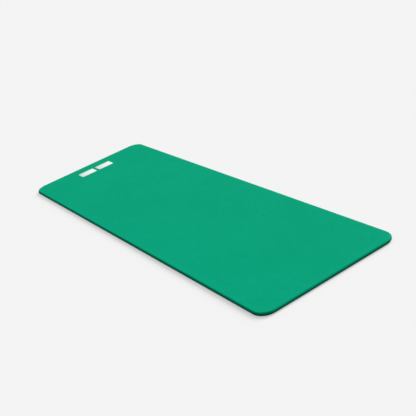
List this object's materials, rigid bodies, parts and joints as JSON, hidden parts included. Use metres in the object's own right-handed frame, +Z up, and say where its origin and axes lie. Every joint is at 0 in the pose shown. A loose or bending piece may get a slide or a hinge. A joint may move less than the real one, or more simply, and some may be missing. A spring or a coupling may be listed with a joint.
{
  "type": "roll-up gymnastics mat",
  "caption": "Thin rectangular roll-up exercise mat of closed-cell foam with rounded corners and soft edges; a chain of cross strips rolls it up from one short end.",
  "frame": {"origin": "centre of the mat's underside, on the floor it lies on", "axes": "+X along the mat's long side, away from the printed end; +Y across its width; +Z up through its thickness"},
  "size_m": [1.9, 0.6, 0.015],
  "materials": {
    "foam": "matte",
    "print": "satin"
  },
  "bodies": {
    "end_panel": {"end_panel": "foam", "print_bar_near": "print", "print_bar_far": "print"},
    "foam_strip_01": {"foam_strip_01": "foam"},
    "foam_strip_02": {"foam_strip_02": "foam"},
    "foam_strip_03": {"foam_strip_03": "foam"},
    "foam_strip_04": {"foam_strip_04": "foam"},
    "foam_strip_05": {"foam_strip_05": "foam"},
    "foam_strip_06": {"foam_strip_06": "foam"},
    "foam_strip_07": {"foam_strip_07": "foam"},
    "foam_strip_08": {"foam_strip_08": "foam"},
    "foam_strip_09": {"foam_strip_09": "foam"},
    "foam_strip_10": {"foam_strip_10": "foam"},
    "foam_strip_11": {"foam_strip_11": "foam"},
    "foam_strip_12": {"foam_strip_12": "foam"},
    "foam_strip_13": {"foam_strip_13": "foam"},
    "foam_strip_14": {"foam_strip_14": "foam"},
    "foam_strip_15": {"foam_strip_15": "foam"},
    "foam_strip_16": {"foam_strip_16": "foam"},
    "foam_strip_17": {"foam_strip_17": "foam"},
    "foam_strip_18": {"foam_strip_18": "foam"},
    "foam_strip_19": {"foam_strip_19": "foam"},
    "foam_strip_20": {"foam_strip_20": "foam"},
    "foam_strip_21": {"foam_strip_21": "foam"},
    "foam_strip_22": {"foam_strip_22": "foam"},
    "foam_strip_23": {"foam_strip_23": "foam"},
    "foam_strip_24": {"foam_strip_24": "foam"},
    "foam_strip_25": {"foam_strip_25": "foam"},
    "foam_strip_26": {"foam_strip_26": "foam"},
    "foam_strip_27": {"foam_strip_27": "foam"},
    "foam_strip_28": {"foam_strip_28": "foam"},
    "foam_strip_29": {"foam_strip_29": "foam"},
    "foam_strip_30": {"foam_strip_30": "foam"},
    "foam_strip_31": {"foam_strip_31": "foam"},
    "foam_strip_32": {"foam_strip_32": "foam"},
    "foam_strip_33": {"foam_strip_33": "foam"},
    "foam_strip_34": {"foam_strip_34": "foam"},
    "foam_strip_35": {"foam_strip_35": "foam"},
    "foam_strip_36": {"foam_strip_36": "foam"},
    "foam_strip_37": {"foam_strip_37": "foam"},
    "foam_strip_38": {"foam_strip_38": "foam"},
    "foam_strip_39": {"foam_strip_39": "foam"},
    "foam_strip_40": {"foam_strip_40": "foam"},
    "foam_strip_41": {"foam_strip_41": "foam"},
    "foam_strip_42": {"foam_strip_42": "foam"},
    "foam_strip_43": {"foam_strip_43": "foam"},
    "foam_strip_44": {"foam_strip_44": "foam"},
    "foam_strip_45": {"foam_strip_45": "foam"},
    "foam_strip_46": {"foam_strip_46": "foam"},
    "foam_strip_47": {"foam_strip_47": "foam"},
    "foam_strip_48": {"foam_strip_48": "foam"},
    "foam_strip_49": {"foam_strip_49": "foam"},
    "foam_strip_50": {"foam_strip_50": "foam"},
    "foam_strip_51": {"foam_strip_51": "foam"},
    "foam_strip_52": {"foam_strip_52": "foam"},
    "foam_strip_53": {"foam_strip_53": "foam"},
    "foam_strip_54": {"foam_strip_54": "foam"},
    "foam_strip_55": {"foam_strip_55": "foam"},
    "foam_strip_56": {"foam_strip_56": "foam"},
    "foam_strip_57": {"foam_strip_57": "foam"}
  },
  "joints": [
    {"name": "bend_01", "type": "hinge", "parent": "foam_strip_02", "child": "foam_strip_01", "pos_m": [0.93246, 0, 0.015], "axis": [0, -1, 0], "range_deg": [0, 24], "stiffness_Nm_per_rad": 0.4},
    {"name": "bend_02", "type": "hinge", "parent": "foam_strip_03", "child": "foam_strip_02", "pos_m": [0.91446, 0, 0.015], "axis": [0, -1, 0], "range_deg": [0, 24], "stiffness_Nm_per_rad": 0.4},
    {"name": "bend_03", "type": "hinge", "parent": "foam_strip_04", "child": "foam_strip_03", "pos_m": [0.89599, 0, 0.015], "axis": [0, -1, 0], "range_deg": [0, 24], "stiffness_Nm_per_rad": 0.4},
    {"name": "bend_04", "type": "hinge", "parent": "foam_strip_05", "child": "foam_strip_04", "pos_m": [0.87706, 0, 0.015], "axis": [0, -1, 0], "range_deg": [0, 24], "stiffness_Nm_per_rad": 0.4},
    {"name": "bend_05", "type": "hinge", "parent": "foam_strip_06", "child": "foam_strip_05", "pos_m": [0.85765, 0, 0.015], "axis": [0, -1, 0], "range_deg": [0, 24], "stiffness_Nm_per_rad": 0.4},
    {"name": "bend_06", "type": "hinge", "parent": "foam_strip_07", "child": "foam_strip_06", "pos_m": [0.83778, 0, 0.015], "axis": [0, -1, 0], "range_deg": [0, 24], "stiffness_Nm_per_rad": 0.4},
    {"name": "bend_07", "type": "hinge", "parent": "foam_strip_08", "child": "foam_strip_07", "pos_m": [0.81744, 0, 0.015], "axis": [0, -1, 0], "range_deg": [0, 24], "stiffness_Nm_per_rad": 0.4},
    {"name": "bend_08", "type": "hinge", "parent": "foam_strip_09", "child": "foam_strip_08", "pos_m": [0.79663, 0, 0.015], "axis": [0, -1, 0], "range_deg": [0, 24], "stiffness_Nm_per_rad": 0.4},
    {"name": "bend_09", "type": "hinge", "parent": "foam_strip_10", "child": "foam_strip_09", "pos_m": [0.77535, 0, 0.015], "axis": [0, -1, 0], "range_deg": [0, 24], "stiffness_Nm_per_rad": 0.4},
    {"name": "bend_10", "type": "hinge", "parent": "foam_strip_11", "child": "foam_strip_10", "pos_m": [0.75361, 0, 0.015], "axis": [0, -1, 0], "range_deg": [0, 24], "stiffness_Nm_per_rad": 0.4},
    {"name": "bend_11", "type": "hinge", "parent": "foam_strip_12", "child": "foam_strip_11", "pos_m": [0.7314, 0, 0.015], "axis": [0, -1, 0], "range_deg": [0, 24], "stiffness_Nm_per_rad": 0.4},
    {"name": "bend_12", "type": "hinge", "parent": "foam_strip_13", "child": "foam_strip_12", "pos_m": [0.70872, 0, 0.015], "axis": [0, -1, 0], "range_deg": [0, 24], "stiffness_Nm_per_rad": 0.4},
    {"name": "bend_13", "type": "hinge", "parent": "foam_strip_14", "child": "foam_strip_13", "pos_m": [0.68557, 0, 0.015], "axis": [0, -1, 0], "range_deg": [0, 24], "stiffness_Nm_per_rad": 0.4},
    {"name": "bend_14", "type": "hinge", "parent": "foam_strip_15", "child": "foam_strip_14", "pos_m": [0.66196, 0, 0.015], "axis": [0, -1, 0], "range_deg": [0, 24], "stiffness_Nm_per_rad": 0.4},
    {"name": "bend_15", "type": "hinge", "parent": "foam_strip_16", "child": "foam_strip_15", "pos_m": [0.63788, 0, 0.015], "axis": [0, -1, 0], "range_deg": [0, 24], "stiffness_Nm_per_rad": 0.4},
    {"name": "bend_16", "type": "hinge", "parent": "foam_strip_17", "child": "foam_strip_16", "pos_m": [0.61333, 0, 0.015], "axis": [0, -1, 0], "range_deg": [0, 24], "stiffness_Nm_per_rad": 0.4},
    {"name": "bend_17", "type": "hinge", "parent": "foam_strip_18", "child": "foam_strip_17", "pos_m": [0.58831, 0, 0.015], "axis": [0, -1, 0], "range_deg": [0, 24], "stiffness_Nm_per_rad": 0.4},
    {"name": "bend_18", "type": "hinge", "parent": "foam_strip_19", "child": "foam_strip_18", "pos_m": [0.56283, 0, 0.015], "axis": [0, -1, 0], "range_deg": [0, 24], "stiffness_Nm_per_rad": 0.4},
    {"name": "bend_19", "type": "hinge", "parent": "foam_strip_20", "child": "foam_strip_19", "pos_m": [0.53688, 0, 0.015], "axis": [0, -1, 0], "range_deg": [0, 24], "stiffness_Nm_per_rad": 0.4},
    {"name": "bend_20", "type": "hinge", "parent": "foam_strip_21", "child": "foam_strip_20", "pos_m": [0.51046, 0, 0.015], "axis": [0, -1, 0], "range_deg": [0, 24], "stiffness_Nm_per_rad": 0.4},
    {"name": "bend_21", "type": "hinge", "parent": "foam_strip_22", "child": "foam_strip_21", "pos_m": [0.48357, 0, 0.015], "axis": [0, -1, 0], "range_deg": [0, 24], "stiffness_Nm_per_rad": 0.4},
    {"name": "bend_22", "type": "hinge", "parent": "foam_strip_23", "child": "foam_strip_22", "pos_m": [0.45621, 0, 0.015], "axis": [0, -1, 0], "range_deg": [0, 24], "stiffness_Nm_per_rad": 0.4},
    {"name": "bend_23", "type": "hinge", "parent": "foam_strip_24", "child": "foam_strip_23", "pos_m": [0.42839, 0, 0.015], "axis": [0, -1, 0], "range_deg": [0, 24], "stiffness_Nm_per_rad": 0.4},
    {"name": "bend_24", "type": "hinge", "parent": "foam_strip_25", "child": "foam_strip_24", "pos_m": [0.4001, 0, 0.015], "axis": [0, -1, 0], "range_deg": [0, 24], "stiffness_Nm_per_rad": 0.4},
    {"name": "bend_25", "type": "hinge", "parent": "foam_strip_26", "child": "foam_strip_25", "pos_m": [0.37134, 0, 0.015], "axis": [0, -1, 0], "range_deg": [0, 24], "stiffness_Nm_per_rad": 0.4},
    {"name": "bend_26", "type": "hinge", "parent": "foam_strip_27", "child": "foam_strip_26", "pos_m": [0.34212, 0, 0.015], "axis": [0, -1, 0], "range_deg": [0, 24], "stiffness_Nm_per_rad": 0.4},
    {"name": "bend_27", "type": "hinge", "parent": "foam_strip_28", "child": "foam_strip_27", "pos_m": [0.31243, 0, 0.015], "axis": [0, -1, 0], "range_deg": [0, 24], "stiffness_Nm_per_rad": 0.4},
    {"name": "bend_28", "type": "hinge", "parent": "foam_strip_29", "child": "foam_strip_28", "pos_m": [0.28226, 0, 0.015], "axis": [0, -1, 0], "range_deg": [0, 24], "stiffness_Nm_per_rad": 0.4},
    {"name": "bend_29", "type": "hinge", "parent": "foam_strip_30", "child": "foam_strip_29", "pos_m": [0.25164, 0, 0.015], "axis": [0, -1, 0], "range_deg": [0, 24], "stiffness_Nm_per_rad": 0.4},
    {"name": "bend_30", "type": "hinge", "parent": "foam_strip_31", "child": "foam_strip_30", "pos_m": [0.22054, 0, 0.015], "axis": [0, -1, 0], "range_deg": [0, 24], "stiffness_Nm_per_rad": 0.4},
    {"name": "bend_31", "type": "hinge", "parent": "foam_strip_32", "child": "foam_strip_31", "pos_m": [0.18898, 0, 0.015], "axis": [0, -1, 0], "range_deg": [0, 24], "stiffness_Nm_per_rad": 0.4},
    {"name": "bend_32", "type": "hinge", "parent": "foam_strip_33", "child": "foam_strip_32", "pos_m": [0.15695, 0, 0.015], "axis": [0, -1, 0], "range_deg": [0, 24], "stiffness_Nm_per_rad": 0.4},
    {"name": "bend_33", "type": "hinge", "parent": "foam_strip_34", "child": "foam_strip_33", "pos_m": [0.12445, 0, 0.015], "axis": [0, -1, 0], "range_deg": [0, 24], "stiffness_Nm_per_rad": 0.4},
    {"name": "bend_34", "type": "hinge", "parent": "foam_strip_35", "child": "foam_strip_34", "pos_m": [0.09148, 0, 0.015], "axis": [0, -1, 0], "range_deg": [0, 24], "stiffness_Nm_per_rad": 0.4},
    {"name": "bend_35", "type": "hinge", "parent": "foam_strip_36", "child": "foam_strip_35", "pos_m": [0.05805, 0, 0.015], "axis": [0, -1, 0], "range_deg": [0, 24], "stiffness_Nm_per_rad": 0.4},
    {"name": "bend_36", "type": "hinge", "parent": "foam_strip_37", "child": "foam_strip_36", "pos_m": [0.02414, 0, 0.015], "axis": [0, -1, 0], "range_deg": [0, 24], "stiffness_Nm_per_rad": 0.4},
    {"name": "bend_37", "type": "hinge", "parent": "foam_strip_38", "child": "foam_strip_37", "pos_m": [-0.01022, 0, 0.015], "axis": [0, -1, 0], "range_deg": [0, 24], "stiffness_Nm_per_rad": 0.4},
    {"name": "bend_38", "type": "hinge", "parent": "foam_strip_39", "child": "foam_strip_38", "pos_m": [-0.04506, 0, 0.015], "axis": [0, -1, 0], "range_deg": [0, 24], "stiffness_Nm_per_rad": 0.4},
    {"name": "bend_39", "type": "hinge", "parent": "foam_strip_40", "child": "foam_strip_39", "pos_m": [-0.08037, 0, 0.015], "axis": [0, -1, 0], "range_deg": [0, 24], "stiffness_Nm_per_rad": 0.4},
    {"name": "bend_40", "type": "hinge", "parent": "foam_strip_41", "child": "foam_strip_40", "pos_m": [-0.11614, 0, 0.015], "axis": [0, -1, 0], "range_deg": [0, 24], "stiffness_Nm_per_rad": 0.4},
    {"name": "bend_41", "type": "hinge", "parent": "foam_strip_42", "child": "foam_strip_41", "pos_m": [-0.15238, 0, 0.015], "axis": [0, -1, 0], "range_deg": [0, 24], "stiffness_Nm_per_rad": 0.4},
    {"name": "bend_42", "type": "hinge", "parent": "foam_strip_43", "child": "foam_strip_42", "pos_m": [-0.18909, 0, 0.015], "axis": [0, -1, 0], "range_deg": [0, 24], "stiffness_Nm_per_rad": 0.4},
    {"name": "bend_43", "type": "hinge", "parent": "foam_strip_44", "child": "foam_strip_43", "pos_m": [-0.22626, 0, 0.015], "axis": [0, -1, 0], "range_deg": [0, 24], "stiffness_Nm_per_rad": 0.4},
    {"name": "bend_44", "type": "hinge", "parent": "foam_strip_45", "child": "foam_strip_44", "pos_m": [-0.2639, 0, 0.015], "axis": [0, -1, 0], "range_deg": [0, 24], "stiffness_Nm_per_rad": 0.4},
    {"name": "bend_45", "type": "hinge", "parent": "foam_strip_46", "child": "foam_strip_45", "pos_m": [-0.30201, 0, 0.015], "axis": [0, -1, 0], "range_deg": [0, 24], "stiffness_Nm_per_rad": 0.4},
    {"name": "bend_46", "type": "hinge", "parent": "foam_strip_47", "child": "foam_strip_46", "pos_m": [-0.34059, 0, 0.015], "axis": [0, -1, 0], "range_deg": [0, 24], "stiffness_Nm_per_rad": 0.4},
    {"name": "bend_47", "type": "hinge", "parent": "foam_strip_48", "child": "foam_strip_47", "pos_m": [-0.37964, 0, 0.015], "axis": [0, -1, 0], "range_deg": [0, 24], "stiffness_Nm_per_rad": 0.4},
    {"name": "bend_48", "type": "hinge", "parent": "foam_strip_49", "child": "foam_strip_48", "pos_m": [-0.41915, 0, 0.015], "axis": [0, -1, 0], "range_deg": [0, 24], "stiffness_Nm_per_rad": 0.4},
    {"name": "bend_49", "type": "hinge", "parent": "foam_strip_50", "child": "foam_strip_49", "pos_m": [-0.45913, 0, 0.015], "axis": [0, -1, 0], "range_deg": [0, 24], "stiffness_Nm_per_rad": 0.4},
    {"name": "bend_50", "type": "hinge", "parent": "foam_strip_51", "child": "foam_strip_50", "pos_m": [-0.49958, 0, 0.015], "axis": [0, -1, 0], "range_deg": [0, 24], "stiffness_Nm_per_rad": 0.4},
    {"name": "bend_51", "type": "hinge", "parent": "foam_strip_52", "child": "foam_strip_51", "pos_m": [-0.54049, 0, 0.015], "axis": [0, -1, 0], "range_deg": [0, 24], "stiffness_Nm_per_rad": 0.4},
    {"name": "bend_52", "type": "hinge", "parent": "foam_strip_53", "child": "foam_strip_52", "pos_m": [-0.58188, 0, 0.015], "axis": [0, -1, 0], "range_deg": [0, 24], "stiffness_Nm_per_rad": 0.4},
    {"name": "bend_53", "type": "hinge", "parent": "foam_strip_54", "child": "foam_strip_53", "pos_m": [-0.62373, 0, 0.015], "axis": [0, -1, 0], "range_deg": [0, 24], "stiffness_Nm_per_rad": 0.4},
    {"name": "bend_54", "type": "hinge", "parent": "foam_strip_55", "child": "foam_strip_54", "pos_m": [-0.66605, 0, 0.015], "axis": [0, -1, 0], "range_deg": [0, 24], "stiffness_Nm_per_rad": 0.4},
    {"name": "bend_55", "type": "hinge", "parent": "foam_strip_56", "child": "foam_strip_55", "pos_m": [-0.70883, 0, 0.015], "axis": [0, -1, 0], "range_deg": [0, 24], "stiffness_Nm_per_rad": 0.4},
    {"name": "bend_56", "type": "hinge", "parent": "foam_strip_57", "child": "foam_strip_56", "pos_m": [-0.75209, 0, 0.015], "axis": [0, -1, 0], "range_deg": [0, 24], "stiffness_Nm_per_rad": 0.4},
    {"name": "bend_57", "type": "hinge", "parent": "end_panel", "child": "foam_strip_57", "pos_m": [-0.79581, 0, 0.015], "axis": [0, -1, 0], "range_deg": [0, 24], "stiffness_Nm_per_rad": 0.4}
  ]
}
